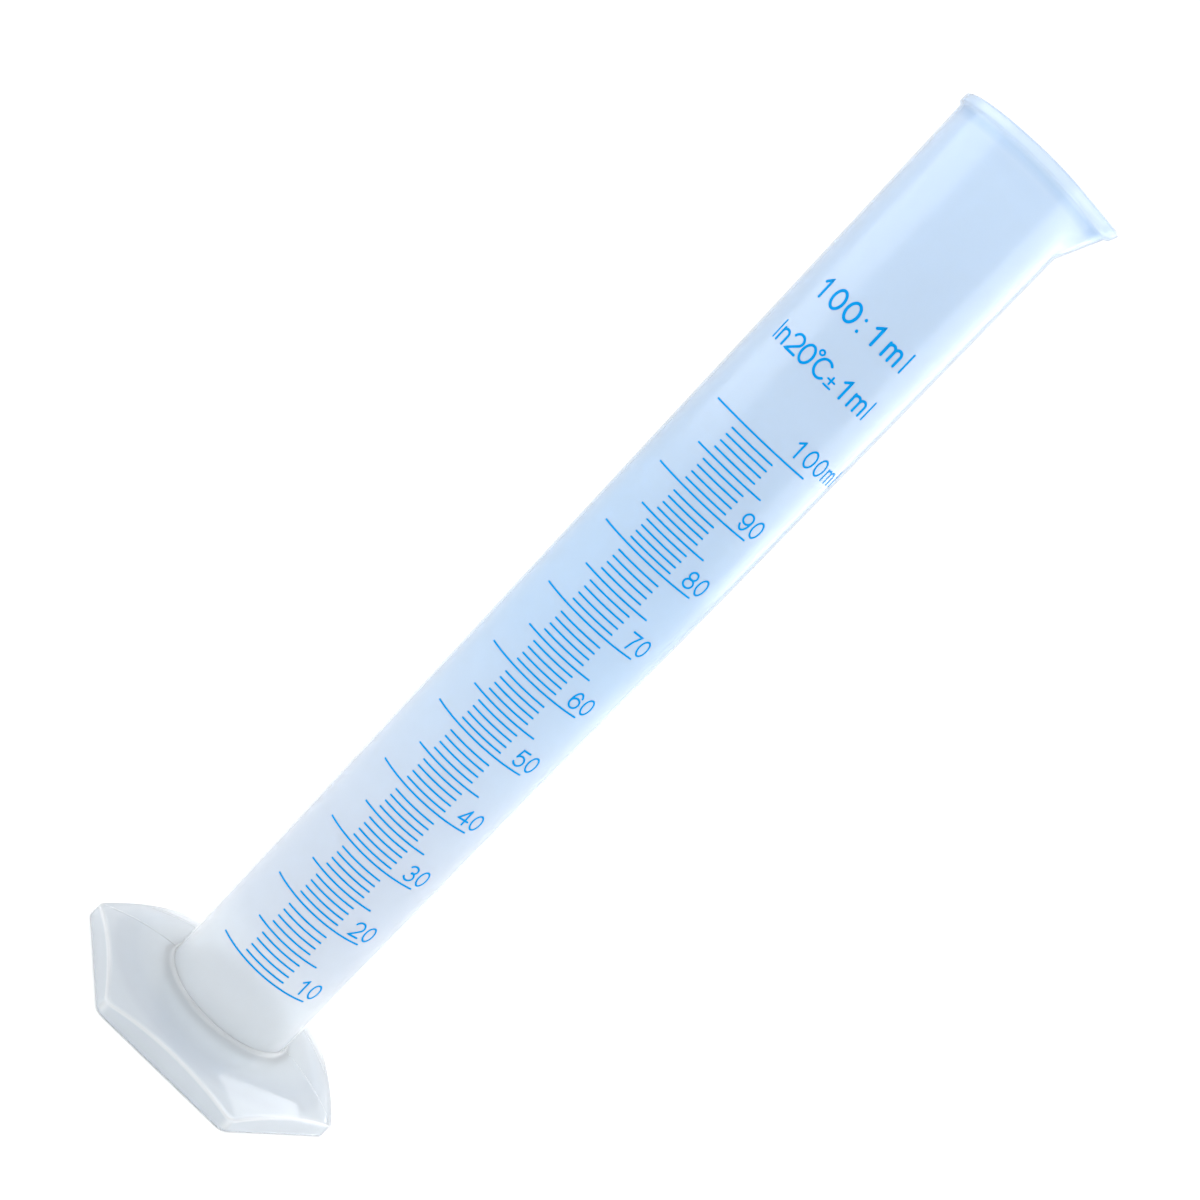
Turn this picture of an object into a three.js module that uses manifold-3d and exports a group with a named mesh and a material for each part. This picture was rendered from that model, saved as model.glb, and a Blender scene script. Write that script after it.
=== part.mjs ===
// A 100 ml graduated cylinder in translucent polypropylene: a tapered barrel with a closed floor, a rim bead
// and a pouring spout, seated in the socket of a hollow, domed, six-sided foot. The scale is printed on the
// barrel's front in ink, and each printed mark is a thin curved solid of its own.
// Millimetres, +Z up. The origin is on the barrel's axis, in the plane the foot stands on. The scale faces
// -Y and the spout points along +X.

import * as THREE from 'three';
import { mergeVertices } from 'three/addons/utils/BufferGeometryUtils.js';
import Module from 'manifold-3d';

const wasm = await Module();
wasm.setup();

// ---- Driving dimensions ----

const FIT_GAP = 0.3;          // clearance all round between the barrel and its socket

const BARREL = {
  radiusAtBase: 14.95,        // outside radius that the tapered wall would have at z = 0
  taper: 0.0049,              // growth of that radius for each millimetre of height
  wall: 1.2,
  floorTop: 5.6,
  floorThickness: 1.4,
  floorFillet: 1.0,
  bottomRounding: 0.8,
  height: 235.3,              // top of the rim above the table
  beadProjection: 0.6,
  beadHeight: 1.7,
  beadUndercut: 0.7,
  rimRounding: 0.45,
  segments: 72,
};

const SPOUT = {
  root: 224.5,                // height at which the spout leaves the round barrel
  reach: 21.2,                // from the axis to the outside of the spout's wall at the rim
  tipRadius: 6.2,             // plan radius of the spout's nose, outside the wall
};

const FOOT = {
  acrossFlats: 57.2,
  cornerRadius: 3.0,
  turn: -0.68,                // degrees from square to the spout
  wall: 1.6,
  crestRadius: 11.3,          // the dome is a ring-shaped arc whose crest runs at this radius
  crestHeight: 7.75,
  domeRadius: 48,             // radius of that arc
  collarHeight: 8.4,          // top of the small fillet collar round the barrel
  collarFillet: 0.9,
  socketWall: 1.3,
  socketBottom: 2.6,
  seatThickness: 1.3,
  seatBore: 23,               // diameter of the hole in the ledge that the barrel stands on
  segments: 60,
};

const PRINT = {
  gap: 0.1,                   // clearance under the ink, over the facets of the barrel
  thickness: 0.1,
  lineHeight: 0.35,
  longLine: 23.6,             // arc lengths of the lines at every 10 ml and every 5 ml
  middleLine: 16.4,
  lineFacet: 1.6,             // length of each straight piece of a curved line
  layoutRadius: 15.4,         // radius at which the print's arc lengths are measured
  turnAtTen: 2.0,             // degrees from the front to the scale's centre line at 10 ml
  turnAtHundred: -2.1,        // and at 100 ml, because the print is slightly askew
  capHeight: 3.9,
  stroke: 0.45,
  bowStep: 30,                // degrees of turn in each straight piece of a curved pen stroke
  numeralPlaces: [9.1, 12.25],                      // from the centre line to each digit of a numeral
  numeralLift: 0.95,          // from a line's middle to the foot of its numeral
  hundredPlaces: [6.7, 9.95, 13.1, 16.8, 19.9],     // the same two sizes for the 100 ml mark
  hundredLift: 1.6,
};

// Heights of the 10 ml marks above the table. They were set by filling, so their steps vary a little.
const DECADE_HEIGHTS = [22.35, 38.7, 54.45, 70.1, 86.0, 101.6, 117.2, 133.25, 148.2, 164.0];
const FIVE_SHARE = 0.483;     // a 5 ml mark stands a little under half-way between its neighbours

const CHARACTER_NAMES = ['first', 'second', 'third', 'm', 'l'];

const COLOURS = { barrel: 0xd3e2f2, foot: 0xc9d3dc, ink: 0x0a86d8 };

// ---- Solids ----

function closed(geometry) {
  const bare = geometry.clone();
  bare.deleteAttribute('normal');
  bare.deleteAttribute('uv');
  return mergeVertices(bare, 1e-4);
}

function toSolid(geometry) {
  const mesh = closed(geometry);
  return new wasm.Manifold(new wasm.Mesh({
    numProp: 3,
    vertProperties: new Float32Array(mesh.attributes.position.array),
    triVerts: new Uint32Array(mesh.index.array),
  }));
}

function toGeometry(solid) {
  const mesh = solid.getMesh();
  const geometry = new THREE.BufferGeometry();
  geometry.setAttribute('position', new THREE.BufferAttribute(mesh.vertProperties, 3));
  geometry.setIndex(new THREE.BufferAttribute(mesh.triVerts, 1));
  return geometry;
}

// A body of revolution about Z, from [radius, height] pairs.
function lathe(profile, segments) {
  const points = profile.map(([radius, height]) => new THREE.Vector2(radius, height));
  return new THREE.LatheGeometry(points, segments).rotateX(Math.PI / 2);
}

// Points along an arc in the radius-height plane. Angles are in degrees, both ends included.
function arc(centreRadius, centreHeight, radius, from, to, steps) {
  return Array.from({ length: steps + 1 }, (_, i) => {
    const angle = THREE.MathUtils.degToRad(from + (to - from) * i / steps);
    return [centreRadius + radius * Math.cos(angle), centreHeight + radius * Math.sin(angle)];
  });
}

// ---- Barrel ----

function barrelRadius(height) {
  return BARREL.radiusAtBase + BARREL.taper * height;
}

// How far the outline of a round wall with a spout is from the axis, at an angle from the spout. The outline
// is a band stretched round the barrel's circle and the smaller circle of the spout's nose.
function spoutOutline(angle, round, nose, noseCentre) {
  if (noseCentre <= round - nose) {
    return round;
  }
  const leaves = Math.acos((round - nose) / noseCentre);
  const meets = Math.atan2(nose * Math.sin(leaves), noseCentre + nose * Math.cos(leaves));
  if (angle >= leaves) {
    return round;
  }
  if (angle > meets) {
    return round / Math.cos(leaves - angle);
  }
  return noseCentre * Math.cos(angle) + Math.sqrt(nose ** 2 - (noseCentre * Math.sin(angle)) ** 2);
}

// Moves the vertices above the spout's root out to the spout's outline.
function pullSpout(geometry) {
  const position = geometry.attributes.position;
  for (let i = 0; i < position.count; i += 1) {
    const x = position.getX(i);
    const y = position.getY(i);
    const height = position.getZ(i);
    const share = (height - SPOUT.root) / (BARREL.height - SPOUT.root);
    const radius = Math.hypot(x, y);
    if (share > 0 && radius > 1) {
      const wall = barrelRadius(height);
      const offset = radius - wall;
      const noseCentre = wall + share * (SPOUT.reach - wall) - SPOUT.tipRadius;
      const angle = Math.abs(Math.atan2(y, x));
      const reach = spoutOutline(angle, radius, SPOUT.tipRadius + offset, noseCentre);
      position.setXY(i, x * reach / radius, y * reach / radius);
    }
  }
  return geometry;
}

function barrelGeometry() {
  const top = BARREL.height;
  const bottom = BARREL.floorTop - BARREL.floorThickness;
  const outer = (height, offset = 0) => [barrelRadius(height) + offset, height];
  const inner = (height) => outer(height, -BARREL.wall);
  const [innerFoot] = inner(BARREL.floorTop + BARREL.floorFillet);
  const beadBottom = top - BARREL.beadHeight;
  const spoutSteps = [0, 0.35, 0.7].map((share) => SPOUT.root + share * (beadBottom - SPOUT.root));
  const [outerFoot] = outer(bottom + BARREL.bottomRounding);
  const shaftSteps = [0.33, 0.67].map((share) => share * SPOUT.root);
  return pullSpout(lathe([
    [0, bottom],
    ...arc(outerFoot - BARREL.bottomRounding, bottom + BARREL.bottomRounding, BARREL.bottomRounding, -90, 0, 3),
    ...shaftSteps.map((height) => outer(height)),
    ...spoutSteps.map((height) => outer(height)),
    outer(beadBottom - BARREL.beadUndercut),
    outer(beadBottom, BARREL.beadProjection),
    outer(top - BARREL.rimRounding, BARREL.beadProjection),
    outer(top, BARREL.beadProjection - BARREL.rimRounding),
    outer(top, BARREL.rimRounding / 2 - BARREL.wall),
    outer(top - BARREL.rimRounding / 2, -BARREL.wall),
    ...spoutSteps.toReversed().map(inner),
    ...shaftSteps.toReversed().map(inner),
    ...arc(innerFoot - BARREL.floorFillet, BARREL.floorTop + BARREL.floorFillet, BARREL.floorFillet, 0, -90, 4),
    [0, BARREL.floorTop],
  ], BARREL.segments));
}

// ---- Foot ----

// A six-sided prism with rounded corners and flat faces to the front and back.
function hexagonalPrism(apothem, cornerRadius, bottom, top) {
  const cornerDistance = (apothem - cornerRadius) / Math.cos(Math.PI / 6);
  const shape = new THREE.Shape();
  for (let corner = 0; corner < 6; corner += 1) {
    const middle = corner * Math.PI / 3;
    shape.absarc(
      cornerDistance * Math.cos(middle), cornerDistance * Math.sin(middle),
      cornerRadius, middle - Math.PI / 6, middle + Math.PI / 6, false,
    );
  }
  const options = { depth: top - bottom, bevelEnabled: false, curveSegments: 4 };
  const prism = new THREE.ExtrudeGeometry(shape, options);
  return prism.rotateZ(THREE.MathUtils.degToRad(FOOT.turn)).translate(0, 0, bottom);
}

// The dome's surface between two radii, lowered by a wall's thickness for its underside.
function domeArc(fromRadius, toRadius, lowered) {
  const radius = FOOT.domeRadius - lowered;
  const centreHeight = FOOT.crestHeight - FOOT.domeRadius;
  const angleAt = (distance) => THREE.MathUtils.radToDeg(Math.acos((distance - FOOT.crestRadius) / radius));
  return arc(FOOT.crestRadius, centreHeight, radius, angleAt(fromRadius), angleAt(toRadius), 5);
}

// The cutting bodies run out past the corners, below the plane the foot stands on and above its collar, and
// the seat runs into the socket's wall.
function footGeometry() {
  const apothem = FOOT.acrossFlats / 2;
  const beyondCorners = apothem * 1.25;
  const below = -1;
  const above = 20;
  const overlap = 0.2;
  const bore = barrelRadius(FOOT.collarHeight) + FIT_GAP;
  const socket = bore + FOOT.socketWall;
  const seatTop = BARREL.floorTop - BARREL.floorThickness - FIT_GAP;
  const filletEnd = bore + FOOT.collarFillet;
  const dome = domeArc(beyondCorners, filletEnd, 0);
  const [, domeAtFillet] = dome.at(-1);
  const filletCentre = domeAtFillet + FOOT.collarFillet;
  const domed = lathe([
    [bore, below],
    [beyondCorners, below],
    ...dome,
    ...arc(filletEnd, filletCentre, FOOT.collarFillet, 270, 180, 4).slice(1),
    [bore, below],
  ], FOOT.segments);
  const hollow = lathe([
    [socket, below - 1],
    [beyondCorners, below - 1],
    ...domeArc(beyondCorners, socket, FOOT.wall),
    [socket, below - 1],
  ], FOOT.segments);
  const underSocket = lathe([
    [0, below - 1],
    [socket + overlap, below - 1],
    [socket + overlap, FOOT.socketBottom],
    [0, FOOT.socketBottom],
  ], FOOT.segments);
  const seat = lathe([
    [FOOT.seatBore / 2, seatTop - FOOT.seatThickness],
    [socket - overlap, seatTop - FOOT.seatThickness],
    [socket - overlap, seatTop],
    [FOOT.seatBore / 2, seatTop],
    [FOOT.seatBore / 2, seatTop - FOOT.seatThickness],
  ], FOOT.segments);
  const outerPrism = hexagonalPrism(apothem, FOOT.cornerRadius, 0, above);
  const innerPrism = hexagonalPrism(apothem - FOOT.wall, FOOT.cornerRadius - FOOT.wall, below - 2, above);
  const shell = toSolid(domed).intersect(toSolid(outerPrism));
  const inside = toSolid(hollow).intersect(toSolid(innerPrism));
  return toGeometry(shell.subtract(inside).subtract(toSolid(underSocket)).add(toSolid(seat)));
}

// ---- Print ----

// The print is laid out flat: x is the arc length from the scale's centre line, y is the height and z is
// outwards from the barrel. Then it is wrapped round the barrel.
function wrapped(geometry) {
  const position = geometry.attributes.position;
  const [ten] = DECADE_HEIGHTS;
  const hundred = DECADE_HEIGHTS.at(-1);
  for (let i = 0; i < position.count; i += 1) {
    const height = position.getY(i);
    const turn = THREE.MathUtils.mapLinear(height, ten, hundred, PRINT.turnAtTen, PRINT.turnAtHundred);
    const angle = THREE.MathUtils.degToRad(turn) + position.getX(i) / PRINT.layoutRadius;
    const radius = barrelRadius(height) + PRINT.gap + position.getZ(i);
    position.setXYZ(i, radius * Math.sin(angle), -radius * Math.cos(angle), height);
  }
  return geometry;
}

function lineGeometry(length, height) {
  const steps = Math.round(length / PRINT.lineFacet);
  const bar = new THREE.BoxGeometry(length, PRINT.lineHeight, PRINT.thickness, steps, 1, 1);
  return wrapped(closed(bar.translate(0, height, PRINT.thickness / 2)));
}

// Points of an elliptical stroke. Angles are in degrees, anticlockwise from +X.
function bow(x, y, radiusX, radiusY, from, to) {
  const steps = Math.ceil(Math.abs(to - from) / PRINT.bowStep);
  return Array.from({ length: steps + 1 }, (_, i) => {
    const angle = THREE.MathUtils.degToRad(from + (to - from) * i / steps);
    return [x + radiusX * Math.cos(angle), y + radiusY * Math.sin(angle)];
  });
}

// Each character is a list of pen strokes. They run from 0 to 1 in height and about -0.32 to 0.32 in width,
// in cap heights along the middle of the stroke.
const six = [bow(0, 0.31, 0.31, 0.31, 0, 360), bow(0, 0.38, 0.31, 0.62, 38, 185)];
const GLYPHS = {
  0: [bow(0, 0.5, 0.32, 0.5, 0, 360)],
  1: [[[-0.2, 0.76], [0.08, 1]], [[0.08, 1], [0.08, 0]]],
  2: [[...bow(0, 0.69, 0.31, 0.31, 165, -38), [-0.32, 0]], [[-0.32, 0], [0.33, 0]]],
  3: [bow(-0.02, 0.755, 0.27, 0.245, 155, -90), bow(-0.02, 0.28, 0.31, 0.28, 105, -155)],
  4: [[[0.14, 1], [-0.34, 0.29], [0.35, 0.29]], [[0.14, 1], [0.14, 0]]],
  5: [[[0.28, 1], [-0.2, 1], [-0.28, 0.48]], bow(-0.01, 0.32, 0.32, 0.32, 148, -150)],
  6: six,
  7: [[[-0.32, 1], [0.32, 1], [0.05, 0.5], [-0.08, 0]]],
  8: [bow(0, 0.76, 0.26, 0.24, 0, 360), bow(0, 0.27, 0.32, 0.27, 0, 360)],
  9: six.map((stroke) => stroke.map(([x, y]) => [-x, 1 - y])),
  m: [
    [[-0.42, 0], [-0.42, 0.72]],
    [...bow(-0.21, 0.5, 0.21, 0.22, 180, 0), [0, 0]],
    [...bow(0.21, 0.5, 0.21, 0.22, 180, 0), [0.42, 0]],
  ],
  l: [[[0, 0], [0, 1]]],
};

// The outline of one pen stroke of even width, as a flat solid.
function strokeSolid(points, width) {
  const path = points.map(([x, y]) => new THREE.Vector2(x, y));
  const isRing = path[0].distanceTo(path.at(-1)) < 1e-6;
  const side = (sign) => path.map((point, i) => {
    const before = path[i > 0 ? i - 1 : (isRing ? path.length - 2 : 0)];
    const after = path[i < path.length - 1 ? i + 1 : (isRing ? 1 : i)];
    const into = i > 0 || isRing ? point.clone().sub(before).normalize() : null;
    const out = i < path.length - 1 || isRing ? after.clone().sub(point).normalize() : null;
    const along = (into ?? out).clone().add(out ?? into).normalize();
    const spread = width / 2 / Math.max(along.dot(into ?? out), 0.5);
    return new THREE.Vector2(-along.y, along.x).multiplyScalar(sign * spread).add(point);
  });
  const left = side(1);
  const right = side(-1);
  const shape = new THREE.Shape();
  if (isRing) {
    shape.setFromPoints(right.slice(0, -1));
    shape.holes.push(new THREE.Path(left.slice(0, -1)));
  } else {
    shape.setFromPoints([...right, ...left.reverse()]);
  }
  return toSolid(new THREE.ExtrudeGeometry(shape, { depth: PRINT.thickness, bevelEnabled: false }));
}

function glyphGeometry(character, x, height) {
  const tall = PRINT.capHeight - PRINT.stroke;
  const strokes = GLYPHS[character].map((stroke) => {
    const points = stroke.map(([across, up]) => [across * tall, up * tall + PRINT.stroke / 2]);
    return strokeSolid(points, PRINT.stroke);
  });
  const joined = strokes.reduce((whole, stroke) => whole.add(stroke));
  return wrapped(toGeometry(joined).translate(x, height, 0));
}

// ---- Assembly ----

const group = new THREE.Group();

function addPart(name, geometry, material) {
  const mesh = new THREE.Mesh(geometry, material);
  mesh.name = name;
  group.add(mesh);
}

const translucent = { roughness: 0.32, metalness: 0, transparent: true };
const barrelMaterial = new THREE.MeshStandardMaterial({ ...translucent, color: COLOURS.barrel, opacity: 0.55 });
const footMaterial = new THREE.MeshStandardMaterial({ ...translucent, color: COLOURS.foot, opacity: 0.7 });
const inkMaterial = new THREE.MeshStandardMaterial({ color: COLOURS.ink, roughness: 0.45, metalness: 0 });

addPart('barrel', barrelGeometry(), barrelMaterial);
addPart('foot', footGeometry(), footMaterial);

DECADE_HEIGHTS.forEach((height, decade) => {
  const volume = 10 * (decade + 1);
  const label = String(volume).padStart(3, '0');
  addPart(`line_${label}_ml`, lineGeometry(PRINT.longLine, height), inkMaterial);
  const next = DECADE_HEIGHTS[decade + 1];
  if (next) {
    const fiveLabel = String(volume + 5).padStart(3, '0');
    const middle = height + FIVE_SHARE * (next - height);
    addPart(`line_${fiveLabel}_ml`, lineGeometry(PRINT.middleLine, middle), inkMaterial);
  }
  const isTop = volume === 100;
  const characters = isTop ? '100ml' : String(volume);
  const places = isTop ? PRINT.hundredPlaces : PRINT.numeralPlaces;
  const foot = height + (isTop ? PRINT.hundredLift : PRINT.numeralLift);
  [...characters].forEach((character, index) => {
    const name = `numeral_${label}_${CHARACTER_NAMES[index]}`;
    addPart(name, glyphGeometry(character, places[index], foot), inkMaterial);
  });
});

export default group;
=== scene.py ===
"""Looks for the 100 ml graduated cylinder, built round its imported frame.

Metres, +Z up, in the frame of the CAD model: the barrel's axis is Z, the table is z = 0, the scale faces
-Y and the spout points along +X. The size tables and the mesh code are in millimetres, and add_piece turns
them into metres. Lamps, camera and floor are in metres.
"""

import math

import bpy
import numpy as np
from mathutils import Matrix, Vector


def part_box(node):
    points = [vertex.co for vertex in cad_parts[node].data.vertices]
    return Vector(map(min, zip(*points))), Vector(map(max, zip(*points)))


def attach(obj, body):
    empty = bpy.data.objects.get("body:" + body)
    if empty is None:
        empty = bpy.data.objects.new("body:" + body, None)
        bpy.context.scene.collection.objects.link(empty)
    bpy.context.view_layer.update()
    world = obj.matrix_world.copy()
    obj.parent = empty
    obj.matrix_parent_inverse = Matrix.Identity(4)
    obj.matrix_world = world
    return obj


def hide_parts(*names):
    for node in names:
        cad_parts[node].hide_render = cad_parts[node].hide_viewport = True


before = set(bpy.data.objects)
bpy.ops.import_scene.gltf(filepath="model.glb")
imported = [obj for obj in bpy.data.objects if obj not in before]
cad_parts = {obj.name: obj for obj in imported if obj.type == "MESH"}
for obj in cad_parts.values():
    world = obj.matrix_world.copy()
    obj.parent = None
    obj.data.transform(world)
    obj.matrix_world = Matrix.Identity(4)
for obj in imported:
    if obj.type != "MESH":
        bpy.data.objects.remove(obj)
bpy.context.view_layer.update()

MM = 0.001

# ---- Sizes, in millimetres ----

# The barrel, the outside of the foot and the layout of the print are as in the CAD model. The hub under the
# foot, its clearance and the ink are thinner here, and the lines are 0.4 high where the CAD model's are 0.35.
# The small ridges, the text above the scale and the paler edges, a painted highlight, are in this model only.

BARREL = dict(
    base_radius=14.95,  # outside radius that the tapered wall would have at z = 0
    taper=0.0049,
    wall=1.2,
    floor_top=5.6,
    floor_thickness=1.4,
    floor_fillet=1.0,
    bottom_rounding=0.8,
    height=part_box("barrel")[1].z / MM,
    bead=0.6,
    bead_height=1.7,
    bead_undercut=0.7,
    bead_crown=0.04,
    rim_rounding=0.45,
    shaft_start=10,
    parting_ridge=0.06,
    bead_parting_ridge=0.05,
    parting_width=0.16,
)
SPOUT = dict(root=224.5, reach=21.2, tip_radius=6.2)
FOOT = dict(
    apothem=28.6,
    corner_radius=3.0,
    turn=math.radians(-0.68),
    wall=1.6,
    crest_radius=11.3,
    crest_height=7.75,
    dome_radius=48.0,
    collar_fillet=0.9,
    socket_wall=0.8,
    socket_bottom=3.4,
    seat_thickness=0.8,
    seat_bore=12.8,
    hub_rounding=0.2,
    clearance=0.02,
    edge_rounding=0.45,
    skirt_rounding=0.25,
    parting_ridge=0.12,
    parting_width=0.2,
    # The paler strips up the skirt's corners and the paler last ring of the dome are a painted highlight
    # along the foot's edges.
    painted_highlight_corner=0.9,  # half width of the paler strip up each corner of the skirt
    painted_highlight_dome_edge=0.6,  # how much of that paleness the dome's last ring has
)
PRINT = dict(
    thickness=0.04,
    sunk=0.02,
    line=0.4,
    long_line=23.6,
    middle_line=16.4,
    short_line=10.35,
    layout_radius=15.4,
    turn_at_ten=2.0,
    turn_at_hundred=-2.1,
    cap_height=3.9,
    stroke=0.45,
    numeral_places=(9.1, 12.25),
    numeral_lift=0.95,
    hundred_places=(6.7, 9.95, 13.1, 16.8, 19.9),
    hundred_lift=1.6,
    first_millilitre=0.09,  # share of the gap between two tens
    millilitre=0.0983,
    thin_characters=("I", "l", "degree", "plus_minus"),
    thin_share=0.75,
)
# The two lines of text above the scale: each character with its place along the arc.
CAPACITY = dict(
    height=189.7,
    cap_height=4.5,
    stroke=0.62,
    characters=[
        ("1", -10.75), ("0", -6.8), ("0", -3.2), ("colon", -0.4), ("1", 2.7), ("m", 7.15), ("l", 10.65),
    ],
)
TOLERANCE = dict(
    height=178.9,
    cap_height=4.3,
    stroke=0.55,
    characters=[
        ("I", -12.2), ("n", -10.3), ("2", -7.1), ("0", -4.1), ("degree", -2.2), ("C", -0.35),
        ("plus_minus", 2.35), ("1", 5.15), ("m", 9.0), ("l", 11.8),
    ],
)
# Heights of the 10 ml marks above the table, as fitted to the photograph.
DECADE_HEIGHTS = [22.35, 38.7, 54.45, 70.1, 86.0, 101.6, 117.2, 133.25, 148.2, 164.0]


def barrel_radius(height):
    return BARREL["base_radius"] + BARREL["taper"] * height


# ---- Mesh helpers ----


def grid_mesh(rings, close_ends):
    """A mesh from rings of points, each ring joined to the next. With close_ends, the first and the last
    ring are closed by a point at their middle, otherwise the last ring joins the first."""
    rings = np.asarray(rings, float)
    count, around = rings.shape[:2]
    points = rings.reshape(-1, 3)
    faces = []
    last = count if not close_ends else count - 1
    for i in range(last):
        low, high = i * around, (i + 1) % count * around
        for j in range(around):
            k = (j + 1) % around
            faces.append((low + j, low + k, high + k, high + j))
    if close_ends:
        ends = np.array([rings[0].mean(0), rings[-1].mean(0)])
        points = np.vstack([points, ends])
        start, finish, top = count * around, count * around + 1, (count - 1) * around
        for j in range(around):
            k = (j + 1) % around
            faces.append((k, j, start))
            faces.append((top + j, top + k, finish))
    return points, faces


def add_piece(name, parts, material, replaced):
    """Joins (points, faces) parts into one object that rides on the cylinder's one body."""
    points, faces, base = [], [], 0
    for part_points, part_faces in parts:
        points.append(np.asarray(part_points, float) * MM)
        faces.extend(tuple(base + i for i in face) for face in part_faces)
        base += len(part_points)
    mesh = bpy.data.meshes.new(name)
    mesh.from_pydata(np.vstack(points).tolist(), [], faces)
    mesh.shade_smooth()
    mesh.materials.append(material)
    piece = bpy.data.objects.new(name, mesh)
    bpy.context.scene.collection.objects.link(piece)
    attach(piece, "root")
    if replaced:
        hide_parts(*replaced)
    return piece


def arc(centre, radius, start, stop, steps):
    """Points of an arc in a plane, angles in degrees, both ends included."""
    angles = np.radians(np.linspace(start, stop, steps + 1))
    return [(centre[0] + radius * math.cos(a), centre[1] + radius * math.sin(a)) for a in angles]


# ---- Barrel ----


def spout_outline(angles, rounds, nose, nose_centre):
    """Distance from the axis of a band stretched round the barrel's circle and the spout's nose."""
    if nose_centre <= rounds - nose:
        return np.full_like(angles, rounds)
    leaves = math.acos((rounds - nose) / nose_centre)
    meets = math.atan2(nose * math.sin(leaves), nose_centre + nose * math.cos(leaves))
    side = np.abs(angles)
    straight = rounds / np.cos(np.clip(leaves - side, 0, leaves))
    root = np.sqrt(np.maximum(nose**2 - (nose_centre * np.sin(side)) ** 2, 0))
    tip = nose_centre * np.cos(side) + root
    return np.where(side >= leaves, rounds, np.where(side > meets, straight, tip))


def barrel_ring(height, offset, angles, ridge=0.0):
    wall = barrel_radius(height)
    share = (height - SPOUT["root"]) / (BARREL["height"] - SPOUT["root"])
    reach = np.full_like(angles, wall + offset)
    if share > 0:
        nose_centre = wall + share * (SPOUT["reach"] - wall) - SPOUT["tip_radius"]
        reach = spout_outline(angles, wall + offset, SPOUT["tip_radius"] + offset, nose_centre)
    if ridge:
        for seam in (0.0, math.pi):
            away = np.abs(np.angle(np.exp(1j * (angles - seam)))) * wall
            reach = reach + ridge * np.exp(-((away / BARREL["parting_width"]) ** 2))
    return np.stack([reach * np.cos(angles), reach * np.sin(angles), np.full_like(angles, height)], -1)


def barrel_parts(around=288):
    angles = np.linspace(-math.pi, math.pi, around, endpoint=False)
    b = BARREL
    top, bottom = b["height"], b["floor_top"] - b["floor_thickness"]
    bead_bottom = top - b["bead_height"]
    inmost, middle = 4.0, 9.0
    rings = []
    low = bottom + b["bottom_rounding"]
    foot_radius = barrel_radius(low) - b["bottom_rounding"]
    bottom_round = arc((foot_radius, low), b["bottom_rounding"], -90, 0, 6)
    for radius, height in [(inmost, bottom), (middle, bottom)] + bottom_round:
        rings.append(barrel_ring(height, radius - barrel_radius(height), angles))
    shaft = list(np.linspace(b["shaft_start"], SPOUT["root"], 44))
    mouth = list(np.linspace(SPOUT["root"], bead_bottom - b["bead_undercut"], 10))[1:]
    for height in shaft + mouth:
        rings.append(barrel_ring(height, 0.0, angles, ridge=b["parting_ridge"]))
    for share in np.linspace(0, 1, 6)[1:]:
        ease = share * share * (3 - 2 * share)
        height = bead_bottom - b["bead_undercut"] * (1 - share)
        rings.append(barrel_ring(height, b["bead"] * ease, angles, ridge=b["bead_parting_ridge"]))
    bead_middle = (bead_bottom + top - b["rim_rounding"]) / 2
    rings.append(barrel_ring(bead_middle, b["bead"] + b["bead_crown"], angles))
    outer_round = arc((b["bead"] - b["rim_rounding"], top - b["rim_rounding"]), b["rim_rounding"], 0, 90, 6)
    inner = b["rim_rounding"] * 0.8
    inner_round = arc((inner - b["wall"], top - inner), inner, 90, 180, 6)
    for offset, height in outer_round + inner_round:
        rings.append(barrel_ring(height, offset, angles))
    for height in [bead_bottom] + mouth[::-1] + shaft[::-1]:
        rings.append(barrel_ring(height, -b["wall"], angles))
    fillet, floor = b["floor_fillet"], b["floor_top"]
    inner_foot = barrel_radius(floor + fillet) - b["wall"] - fillet
    inner_bottom = arc((inner_foot, floor + fillet), fillet, 0, -90, 6)
    for radius, height in inner_bottom + [(middle, floor), (inmost, floor)]:
        rings.append(barrel_ring(height, radius - barrel_radius(height), angles))
    return [grid_mesh(rings, close_ends=True)]


# ---- Foot ----


def hexagon_reach(angles, apothem, corner_radius):
    """Distance from the axis to a six-sided outline with rounded corners, two of them on +X and -X."""
    middle = np.round(angles / (math.pi / 3)) * (math.pi / 3)
    off = np.abs(angles - middle)
    corner = (apothem - corner_radius) / math.cos(math.pi / 6)
    flat = apothem / np.cos(math.pi / 6 - off)
    root = np.sqrt(np.maximum(corner_radius**2 - (corner * np.sin(off)) ** 2, 0))
    rounded = corner * np.cos(off) + root
    ends = math.atan2(corner_radius * 0.5, corner + corner_radius * math.cos(math.pi / 6))
    return np.where(off < ends, rounded, flat)


def dome_height(radius, lowered=0.0):
    arc_radius = FOOT["dome_radius"] - lowered
    away = np.maximum(radius - FOOT["crest_radius"], 0)
    return FOOT["crest_height"] - FOOT["dome_radius"] + np.sqrt(arc_radius**2 - away**2)


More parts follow.
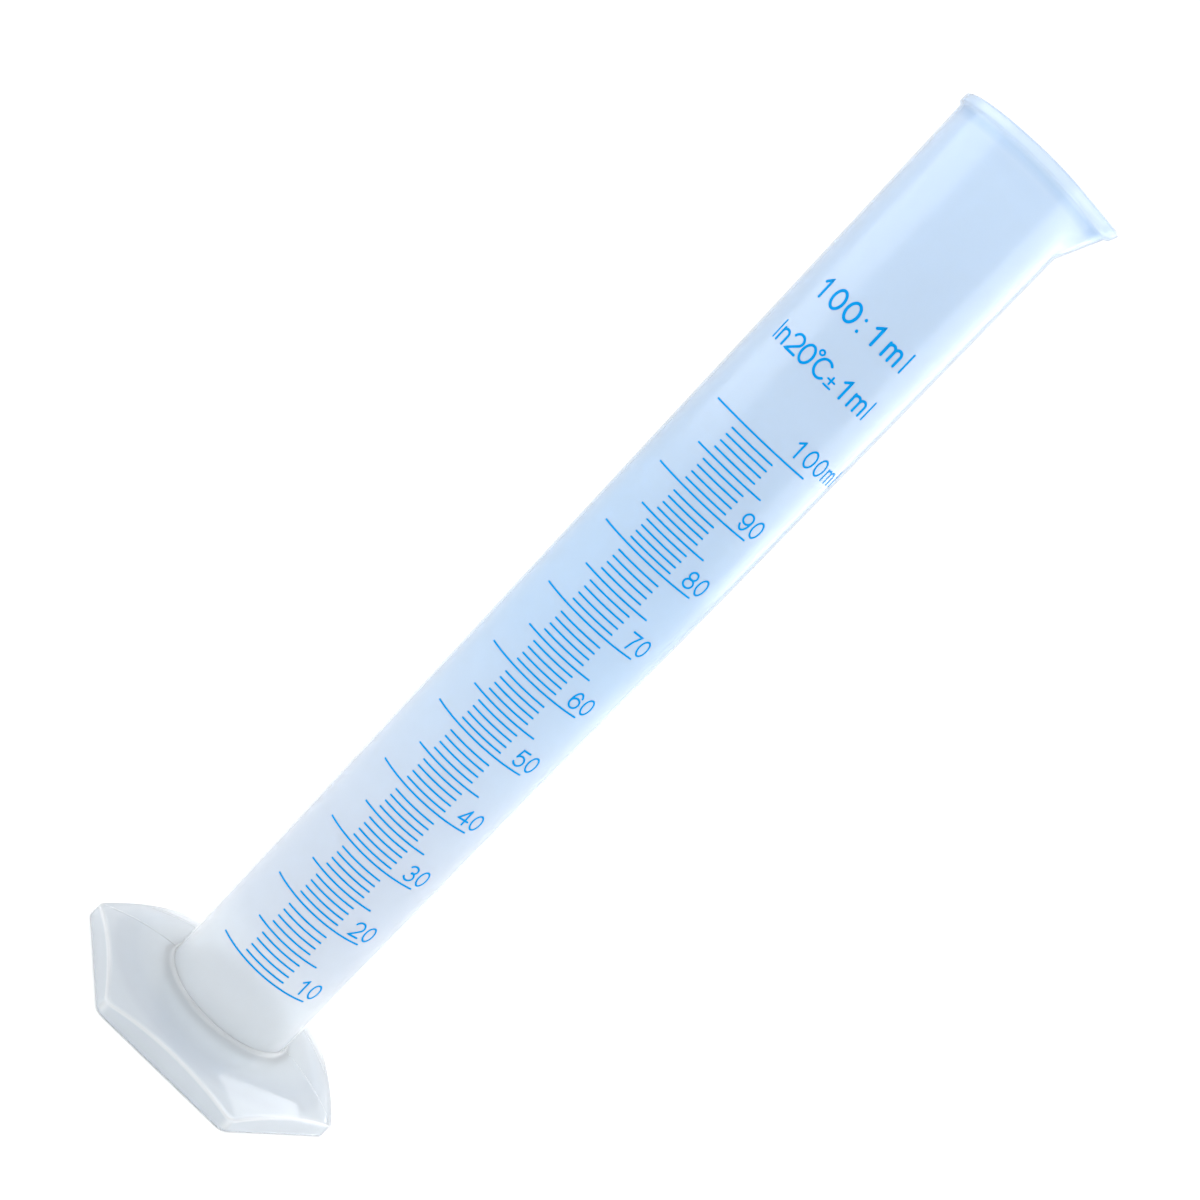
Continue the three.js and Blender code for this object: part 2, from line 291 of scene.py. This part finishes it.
def foot_parts(around=720):
    """The foot's mesh, and for each of its points how much of the painted highlight, a whitening of the
    plastic, it has there.
    """
    f = FOOT
    angles = np.linspace(-math.pi, math.pi, around, endpoint=False)
    reach = hexagon_reach(angles, f["apothem"], f["corner_radius"])
    inner_reach = hexagon_reach(angles, f["apothem"] - f["wall"], f["corner_radius"] - f["wall"])
    ones = np.ones(around)
    bore = barrel_radius(dome_height(0)) + f["clearance"]
    socket = bore + f["socket_wall"]
    seat_top = BARREL["floor_top"] - BARREL["floor_thickness"] - f["clearance"]
    seat_bottom = seat_top - f["seat_thickness"]
    fillet = f["collar_fillet"]
    centre_height = dome_height(bore + fillet) + fillet
    off_corner = np.abs(angles - np.round(angles / (math.pi / 3)) * (math.pi / 3)) * reach
    # Painted highlight: a whiter strip up each corner of the skirt.
    corner = np.exp(-((off_corner / f["painted_highlight_corner"]) ** 2))
    rings = []
    painted_highlight_by_point = []

    def ring(radius, height, ridge=0.0, painted_highlight=0.0):
        painted_highlight_by_point.append(painted_highlight * ones)
        radius = radius * ones
        height = height * ones
        if ridge:
            for seam in (0.0, math.pi):
                away = np.abs(np.angle(np.exp(1j * (angles - seam)))) * radius
                height = height + ridge * np.exp(-((away / f["parting_width"]) ** 2))
        turned = angles + f["turn"]
        rings.append(np.stack([radius * np.cos(turned), radius * np.sin(turned), height], -1))

    for radius, height in arc((bore + fillet, centre_height), fillet, 180, 270, 6):
        ring(radius, height, ridge=f["parting_ridge"] if radius > bore + fillet / 3 else 0.0)
    edge = f["edge_rounding"]
    dome_end = reach - edge
    # The dome's last ring and the rounded edge below it carry the painted highlight.
    for share in np.linspace(0, 1, 26)[1:]:
        radius = (bore + fillet) * (1 - share) + dome_end * share
        painted_highlight = f["painted_highlight_dome_edge"] if share == 1 else 0.0
        ring(radius, dome_height(radius), ridge=f["parting_ridge"], painted_highlight=painted_highlight)
    for share in np.linspace(0, 1, 6)[1:]:
        turn = share * math.pi / 2
        height = dome_height(dome_end) - edge * (1 - math.cos(turn))
        ring(dome_end + edge * math.sin(turn), height, painted_highlight=1.0)
    skirt_top = dome_height(dome_end) - edge
    for share in (0.08, 0.33, 0.66):
        ring(reach, skirt_top * (1 - share), painted_highlight=corner)
    low = f["skirt_rounding"]
    for across, height in arc((0, low), low, 0, -90, 3):
        ring(reach - low + across, height)
    for across, height in arc((0, low), low, -90, -180, 3):
        ring(inner_reach + low + across, height)
    inner_top = dome_height(inner_reach, f["wall"])
    for share in (0.4, 0.8, 1.0):
        ring(inner_reach, low * (1 - share) + inner_top * share)
    for share in np.linspace(0, 1, 12)[1:]:
        radius = inner_reach * (1 - share) + socket * share
        ring(radius, dome_height(radius, f["wall"]))
    soft = f["hub_rounding"]
    ring(socket, f["socket_bottom"] + soft)
    ring(socket - soft, f["socket_bottom"])
    ring(f["seat_bore"] + soft, seat_bottom)
    ring(f["seat_bore"], seat_bottom + soft)
    ring(f["seat_bore"], seat_top - soft)
    ring(f["seat_bore"] + soft, seat_top)
    ring(bore, seat_top)
    return [grid_mesh(rings[::-1], close_ends=False)], np.concatenate(painted_highlight_by_point[::-1])


# ---- Print ----


def wrapped(points):
    """Takes the flat print, (arc length, height, depth), round the barrel."""
    points = np.asarray(points, float)
    across, height, depth = points[:, 0], points[:, 1], points[:, 2]
    share = (height - DECADE_HEIGHTS[0]) / (DECADE_HEIGHTS[-1] - DECADE_HEIGHTS[0])
    turn = np.radians(PRINT["turn_at_ten"] + share * (PRINT["turn_at_hundred"] - PRINT["turn_at_ten"]))
    angle = turn + across / PRINT["layout_radius"]
    radius = barrel_radius(height) + depth
    return np.stack([radius * np.sin(angle), -radius * np.cos(angle), height], -1)


def resampled(path, step=0.25):
    """The same line with points no further apart than step, so that it follows the barrel."""
    points = [np.asarray(path[0], float)]
    for end in path[1:]:
        start, end = points[-1], np.asarray(end, float)
        pieces = max(1, math.ceil(np.linalg.norm(end - start) / step))
        points.extend(start + (end - start) * (i + 1) / pieces for i in range(pieces))
    return np.array(points)


def stroke_part(path, width):
    """A pen stroke with round ends, as a thin closed solid on the barrel."""
    path = resampled(path)
    closed = np.linalg.norm(path[0] - path[-1]) < 1e-6
    if closed:
        path = path[:-1]
        ahead, behind = np.roll(path, -1, 0), np.roll(path, 1, 0)
    else:
        ahead = np.vstack([path[1:], 2 * path[-1] - path[-2]])
        behind = np.vstack([2 * path[0] - path[1], path[:-1]])
    into = path - behind
    out = ahead - path
    into /= np.linalg.norm(into, axis=1)[:, None]
    out /= np.linalg.norm(out, axis=1)[:, None]
    along = into + out
    along /= np.linalg.norm(along, axis=1)[:, None]
    spread = 1 / np.maximum((along * into).sum(1), 0.6)
    normal = np.stack([-along[:, 1], along[:, 0]], -1)
    half = np.full(len(path), width / 2)
    centre, scale = path, spread
    if not closed:
        turns = np.radians([80, 60, 40, 20])
        nose = width / 2 * np.sin(turns)
        start = path[0] - into[0] * nose[:, None]
        end = path[-1] + out[-1] * nose[::-1, None]
        centre = np.vstack([start, path, end])
        ends = width / 2 * np.cos(turns)
        half = np.concatenate([ends, half, ends[::-1]])
        normal = np.vstack([np.tile(normal[0], (4, 1)), normal, np.tile(normal[-1], (4, 1))])
        scale = np.concatenate([np.ones(4), spread, np.ones(4)])
    low, high = -PRINT["sunk"], PRINT["thickness"]
    rim = high * 0.55
    section = [(1.0, low), (1.0, rim), (0.82, high), (-0.82, high), (-1.0, rim), (-1.0, low)]
    rings = []
    for across, depth in section:
        flat = centre + normal * (half * scale * across)[:, None]
        rings.append(np.column_stack([flat, np.full(len(flat), depth)]))
    points, faces = grid_mesh(np.stack(rings, 1), close_ends=not closed)
    return wrapped(points), faces


def bow(x, y, radius_x, radius_y, start, stop, step=8):
    """Points of an ellipse's arc, angles in degrees."""
    steps = math.ceil(abs(stop - start) / step)
    angles = np.radians(np.linspace(start, stop, steps + 1))
    return [(x + radius_x * math.cos(a), y + radius_y * math.sin(a)) for a in angles]


SIX = [bow(0, 0.31, 0.31, 0.31, 0, 360), bow(0, 0.38, 0.31, 0.62, 38, 180)]
# Pen strokes of each character, in cap heights along the middle of the stroke.
GLYPHS = {
    "0": [bow(0, 0.5, 0.32, 0.5, 0, 360)],
    "1": [[(-0.2, 0.76), (0.08, 1), (0.08, 0)]],
    "2": [bow(0, 0.69, 0.31, 0.31, 165, -38) + [(-0.32, 0), (0.33, 0)]],
    "3": [bow(-0.02, 0.755, 0.27, 0.245, 155, -90), bow(-0.02, 0.28, 0.31, 0.28, 90, -155)],
    "4": [[(0.14, 1), (-0.34, 0.29), (0.35, 0.29)], [(0.14, 1), (0.14, 0)]],
    "5": [[(0.28, 1), (-0.2, 1), (-0.28, 0.48)], bow(-0.01, 0.32, 0.32, 0.32, 148, -150)],
    "6": SIX,
    "7": [[(-0.32, 1), (0.32, 1), (0.05, 0.5), (-0.08, 0)]],
    "8": [bow(0, 0.76, 0.26, 0.24, 0, 360), bow(0, 0.27, 0.32, 0.27, 0, 360)],
    "9": [[(-x, 1 - y) for x, y in stroke] for stroke in SIX],
    "m": [
        [(-0.42, 0), (-0.42, 0.72)],
        bow(-0.21, 0.5, 0.21, 0.22, 180, 0) + [(0, 0)],
        bow(0.21, 0.5, 0.21, 0.22, 180, 0) + [(0.42, 0)],
    ],
    "l": [[(0, 0), (0, 1.02)]],
    "I": [[(0, 0), (0, 1)]],
    "n": [[(-0.24, 0), (-0.24, 0.72)], bow(0, 0.48, 0.24, 0.24, 180, 0) + [(0.24, 0)]],
    "C": [bow(0.03, 0.5, 0.4, 0.5, 48, 312)],
    "degree": [bow(0, 1.03, 0.12, 0.12, 0, 360)],
    "plus_minus": [[(-0.19, 0.36), (0.19, 0.36)], [(0, 0.17), (0, 0.55)], [(-0.19, 0.02), (0.19, 0.02)]],
    "colon": [[(0, 0), (0, 0.02)], [(0, 0.66), (0, 0.68)]],
}


def glyph_parts(character, x, height, cap_height, stroke):
    """The strokes of one character that is centred on x and stands on height."""
    if character in PRINT["thin_characters"]:
        stroke = stroke * PRINT["thin_share"]
    tall = cap_height - stroke
    foot = height + stroke / 2
    return [
        stroke_part([(x + across * tall, foot + up * tall) for across, up in path], stroke)
        for path in GLYPHS[character]
    ]


def legend_parts(legend):
    parts = []
    for character, x in legend["characters"]:
        parts += glyph_parts(character, x, legend["height"], legend["cap_height"], legend["stroke"])
    return parts


def line_part(length, height):
    half = (length - PRINT["line"]) / 2
    return stroke_part([(-half, height), (half, height)], PRINT["line"])


# ---- Materials ----


def new_material(name):
    material = bpy.data.materials.new(name)
    material.use_nodes = True
    tree = material.node_tree
    return material, tree, tree.nodes["Principled BSDF"]


def node(tree, kind, **inputs):
    made = tree.nodes.new(kind)
    for key, value in inputs.items():
        made.inputs[key.replace("_", " ")].default_value = value
    return made


def plastic(name, tint_and_painted_light, transmission, roughness, depth):
    """Translucent moulded polypropylene, its colour set by height with painted light and shade in that ramp,
    and whitened as a painted highlight where the mesh is marked so.
    """
    material, tree, shader = new_material(name)
    link = tree.links.new
    place = tree.nodes.new("ShaderNodeTexCoord")
    split = tree.nodes.new("ShaderNodeSeparateXYZ")
    link(place.outputs["Object"], split.inputs[0])
    top = tint_and_painted_light[-1][0]
    rise = node(tree, "ShaderNodeMapRange", From_Min=0.0, From_Max=top * MM)
    link(split.outputs["Z"], rise.inputs["Value"])
    ramp = tree.nodes.new("ShaderNodeValToRGB")
    while len(ramp.color_ramp.elements) < len(tint_and_painted_light):
        ramp.color_ramp.elements.new(0.5)
    for element, (height, colour) in zip(ramp.color_ramp.elements, tint_and_painted_light):
        element.position = height / top
        element.color = (*colour, 1)
    link(rise.outputs[0], ramp.inputs["Fac"])
    cloud = node(tree, "ShaderNodeTexNoise", Scale=28.0, Detail=3.0, Roughness=0.5)
    link(place.outputs["Object"], cloud.inputs["Vector"])
    haze = node(tree, "ShaderNodeMapRange", From_Min=0.0, From_Max=1.0, To_Min=0.95, To_Max=1.05)
    link(cloud.outputs["Fac"], haze.inputs["Value"])
    shade = tree.nodes.new("ShaderNodeVectorMath")
    shade.operation = "SCALE"
    link(ramp.outputs["Color"], shade.inputs[0])
    link(haze.outputs[0], shade.inputs["Scale"])
    # Painted highlight: the colour is mixed towards white by the mesh's per-point attribute.
    painted_highlight = tree.nodes.new("ShaderNodeAttribute")
    painted_highlight.attribute_name = "painted_highlight"
    edges = tree.nodes.new("ShaderNodeMix")
    edges.data_type = "RGBA"
    edges.inputs["B"].default_value = (0.97, 0.99, 1.0, 1)
    link(painted_highlight.outputs["Fac"], edges.inputs["Factor"])
    link(shade.outputs[0], edges.inputs["A"])
    link(edges.outputs["Result"], shader.inputs["Base Color"])
    skin = node(tree, "ShaderNodeTexNoise", Scale=900.0, Detail=2.0)
    link(place.outputs["Object"], skin.inputs["Vector"])
    smoothest, roughest = roughness - 0.04, roughness + 0.04
    polish = node(tree, "ShaderNodeMapRange", From_Min=0.0, From_Max=1.0, To_Min=smoothest, To_Max=roughest)
    link(cloud.outputs["Fac"], polish.inputs["Value"])
    link(polish.outputs[0], shader.inputs["Roughness"])
    bump = node(tree, "ShaderNodeBump", Strength=0.05, Distance=0.0001)
    link(skin.outputs["Fac"], bump.inputs["Height"])
    link(bump.outputs[0], shader.inputs["Normal"])
    shader.inputs["Transmission Weight"].default_value = transmission
    shader.inputs["IOR"].default_value = 1.49
    body = node(tree, "ShaderNodeVolumeAbsorption", Density=depth)
    body.inputs["Color"].default_value = (0.4, 0.55, 0.8, 1)
    link(body.outputs[0], tree.nodes["Material Output"].inputs["Volume"])
    return material


def ink_material():
    """Matt blue printing ink, a little uneven."""
    material, tree, shader = new_material("scale_ink")
    link = tree.links.new
    place = tree.nodes.new("ShaderNodeTexCoord")
    mottle = node(tree, "ShaderNodeTexNoise", Scale=700.0, Detail=3.0)
    link(place.outputs["Object"], mottle.inputs["Vector"])
    tint = tree.nodes.new("ShaderNodeMix")
    tint.data_type = "RGBA"
    tint.inputs["A"].default_value = (0.0, 0.195, 0.52, 1)
    tint.inputs["B"].default_value = (0.0, 0.265, 0.63, 1)
    link(mottle.outputs["Fac"], tint.inputs["Factor"])
    link(tint.outputs["Result"], shader.inputs["Base Color"])
    polish = node(tree, "ShaderNodeMapRange", From_Min=0.0, From_Max=1.0, To_Min=0.34, To_Max=0.5)
    link(mottle.outputs["Fac"], polish.inputs["Value"])
    link(polish.outputs[0], shader.inputs["Roughness"])
    bump = node(tree, "ShaderNodeBump", Strength=0.1, Distance=0.00002)
    link(mottle.outputs["Fac"], bump.inputs["Height"])
    link(bump.outputs[0], shader.inputs["Normal"])
    shader.inputs["Specular IOR Level"].default_value = 0.06
    return material


# ---- Pieces ----

# Base colours by height in millimetres: the plastic's own bluish tint with painted light and shade in it. On
# the barrel the pale bottom 20 mm is painted light against the shade of the thick base, the darker, bluer
# barrel higher up is partly its tint and partly painted light of bluish surroundings, and the dark dip at
# 232.2 is painted shade under the rim's bead.
barrel_tint_and_painted_light = [
    (0, (0.96, 0.99, 1.0)),
    (20, (0.92, 0.965, 1.0)),
    (30, (0.79, 0.85, 0.92)),
    (60, (0.76, 0.835, 0.92)),
    (110, (0.66, 0.81, 0.955)),
    (135, (0.66, 0.81, 0.955)),
    (170, (0.69, 0.815, 0.945)),
    (230.4, (0.69, 0.815, 0.945)),
    (232.2, (0.50, 0.66, 0.85)),
    (233.8, (0.69, 0.815, 0.945)),
    (236, (0.77, 0.87, 0.98)),
]
# On the foot the lighter dome towards the barrel is painted light against the barrel's shade, and the
# near-white ring at 9 mm is a painted highlight on the collar.
foot_tint_and_painted_light = [
    (0, (0.82, 0.87, 0.915)),
    (4.6, (0.82, 0.87, 0.915)),
    (5.2, (0.775, 0.825, 0.88)),
    (6.2, (0.79, 0.85, 0.91)),
    (7.2, (0.89, 0.945, 0.985)),
    (9, (0.95, 0.98, 1.0)),
]
barrel_plastic = plastic("barrel_plastic", barrel_tint_and_painted_light, 0.62, 0.2, 65)
foot_plastic = plastic("foot_plastic", foot_tint_and_painted_light, 0.62, 0.06, 20)
scale_ink = ink_material()

add_piece("barrel_moulding", barrel_parts(), barrel_plastic, ["barrel"])
# The foot's per-point attribute whitens its top edges and corners as a painted highlight.
foot_mesh, foot_painted_highlight = foot_parts()
foot_piece = add_piece("hexagonal_foot", foot_mesh, foot_plastic, ["foot"])
foot_piece.data.attributes.new("painted_highlight", "FLOAT", "POINT").data.foreach_set("value", foot_painted_highlight)

lines = {"long": [], "middle": [], "short": []}
for decade, height in enumerate(DECADE_HEIGHTS):
    lines["long"].append(line_part(PRINT["long_line"], height))
    if decade == len(DECADE_HEIGHTS) - 1:
        break
    gap = DECADE_HEIGHTS[decade + 1] - height
    for millilitre in range(1, 10):
        kind = "middle" if millilitre == 5 else "short"
        share = PRINT["first_millilitre"] + PRINT["millilitre"] * (millilitre - 1)
        lines[kind].append(line_part(PRINT[kind + "_line"], height + gap * share))
tens = [f"line_{10 * i:03d}_ml" for i in range(1, 11)]
fives = [f"line_{10 * i + 5:03d}_ml" for i in range(1, 10)]
add_piece("ten_millilitre_lines", lines["long"], scale_ink, tens)
add_piece("five_millilitre_lines", lines["middle"], scale_ink, fives)
add_piece("one_millilitre_lines", lines["short"], scale_ink, [])

numerals = []
for decade, height in enumerate(DECADE_HEIGHTS[:-1]):
    stands_at = height + PRINT["numeral_lift"]
    for digit, x in zip(str(10 * (decade + 1)), PRINT["numeral_places"]):
        numerals += glyph_parts(digit, x, stands_at, PRINT["cap_height"], PRINT["stroke"])
hundred_height = DECADE_HEIGHTS[-1] + PRINT["hundred_lift"]
for character, x in zip("100ml", PRINT["hundred_places"]):
    numerals += glyph_parts(character, x, hundred_height, PRINT["cap_height"], PRINT["stroke"])
numeral_nodes = [name for name in sorted(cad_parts) if name.startswith("numeral_")]
add_piece("numerals", numerals, scale_ink, numeral_nodes)

legend = legend_parts(CAPACITY) + legend_parts(TOLERANCE)
add_piece("capacity_legend", legend, scale_ink, [])

# ---- Stage, light and camera ----


def softbox(name, location, target, width, height, radiance):
    """A rectangular lamp of even brightness that faces its target."""
    data = bpy.data.lights.new(name, "AREA")
    data.shape = "RECTANGLE"
    data.size = width
    data.size_y = height
    data.energy = radiance * math.pi * width * height
    lamp = bpy.data.objects.new(name, data)
    lamp.location = location
    aim = Vector(target) - Vector(location)
    lamp.rotation_euler = aim.to_track_quat("-Z", "Y").to_euler()
    bpy.context.scene.collection.objects.link(lamp)


def round_the_axis(azimuth, distance, height):
    """A place by its direction from the axis: 0 is in front of the scale, 90 beyond the spout."""
    turn = math.radians(azimuth)
    return (distance * math.sin(turn), -distance * math.cos(turn), height)


FLOOR_REACH = 40.0
FLOOR_DROP = 0.0002
floor_mesh = bpy.data.meshes.new("floor")
floor_corners = [(x * FLOOR_REACH, y * FLOOR_REACH, 0) for x, y in [(-1, -1), (1, -1), (1, 1), (-1, 1)]]
floor_mesh.from_pydata(floor_corners, [], [(0, 1, 2, 3)])
floor = bpy.data.objects.new("floor", floor_mesh)
floor_material, _, floor_shader = new_material("pale_floor")
floor_shader.inputs["Base Color"].default_value = (0.96, 0.96, 0.96, 1)
floor_shader.inputs["Roughness"].default_value = 0.9
floor_shader.inputs["Specular IOR Level"].default_value = 0.2
floor_mesh.materials.append(floor_material)
floor.location.z = -FLOOR_DROP
bpy.context.scene.collection.objects.link(floor)

world = bpy.data.worlds.new("studio")
world.use_nodes = True
background = world.node_tree.nodes["Background"]
background.inputs["Color"].default_value = (1, 1, 1, 1)
background.inputs["Strength"].default_value = 1.08
bpy.context.scene.world = world

softbox("right_box", round_the_axis(124, 0.62, 0.235), (0, 0, 0.235), 0.42, 0.37, 2.2)
softbox("side_box", round_the_axis(88, 0.62, 0.25), (0, 0, 0.25), 0.38, 0.34, 2.0)
softbox("left_box", round_the_axis(-74, 0.62, 0.3), (0, 0, 0.3), 0.65, 0.4, 1.7)
softbox("back_box", round_the_axis(142, 0.63, 0.65), (0, 0, 0), 0.38, 0.45, 2.2)
softbox("front_box", round_the_axis(8, 0.7, 0.85), (0, 0, 0), 0.5, 0.4, 3.2)

bpy.context.scene.view_settings.view_transform = "Standard"
bpy.context.scene.view_settings.look = "None"

CAMERA = dict(
    place=(0, -0.39163, 0.1864),
    lens=61.55,
    pitch=math.radians(-9.709),
    yaw=math.radians(0.2036),
    roll=math.radians(43.55),
)
camera_data = bpy.data.cameras.new("camera")
camera_data.sensor_width = 36
camera_data.lens = CAMERA["lens"]
camera = bpy.data.objects.new("camera", camera_data)
pitch, yaw, roll = CAMERA["pitch"], CAMERA["yaw"], CAMERA["roll"]
forward = Vector((-math.sin(yaw) * math.cos(pitch), math.cos(yaw) * math.cos(pitch), math.sin(pitch)))
right = Vector((math.cos(yaw), math.sin(yaw), 0))
up = right.cross(forward)
image_right = right * math.cos(roll) + up * math.sin(roll)
image_up = up * math.cos(roll) - right * math.sin(roll)
turn = Matrix((image_right, image_up, -forward)).transposed()
camera.matrix_world = Matrix.Translation(CAMERA["place"]) @ turn.to_4x4()
bpy.context.scene.collection.objects.link(camera)
bpy.context.scene.camera = camera
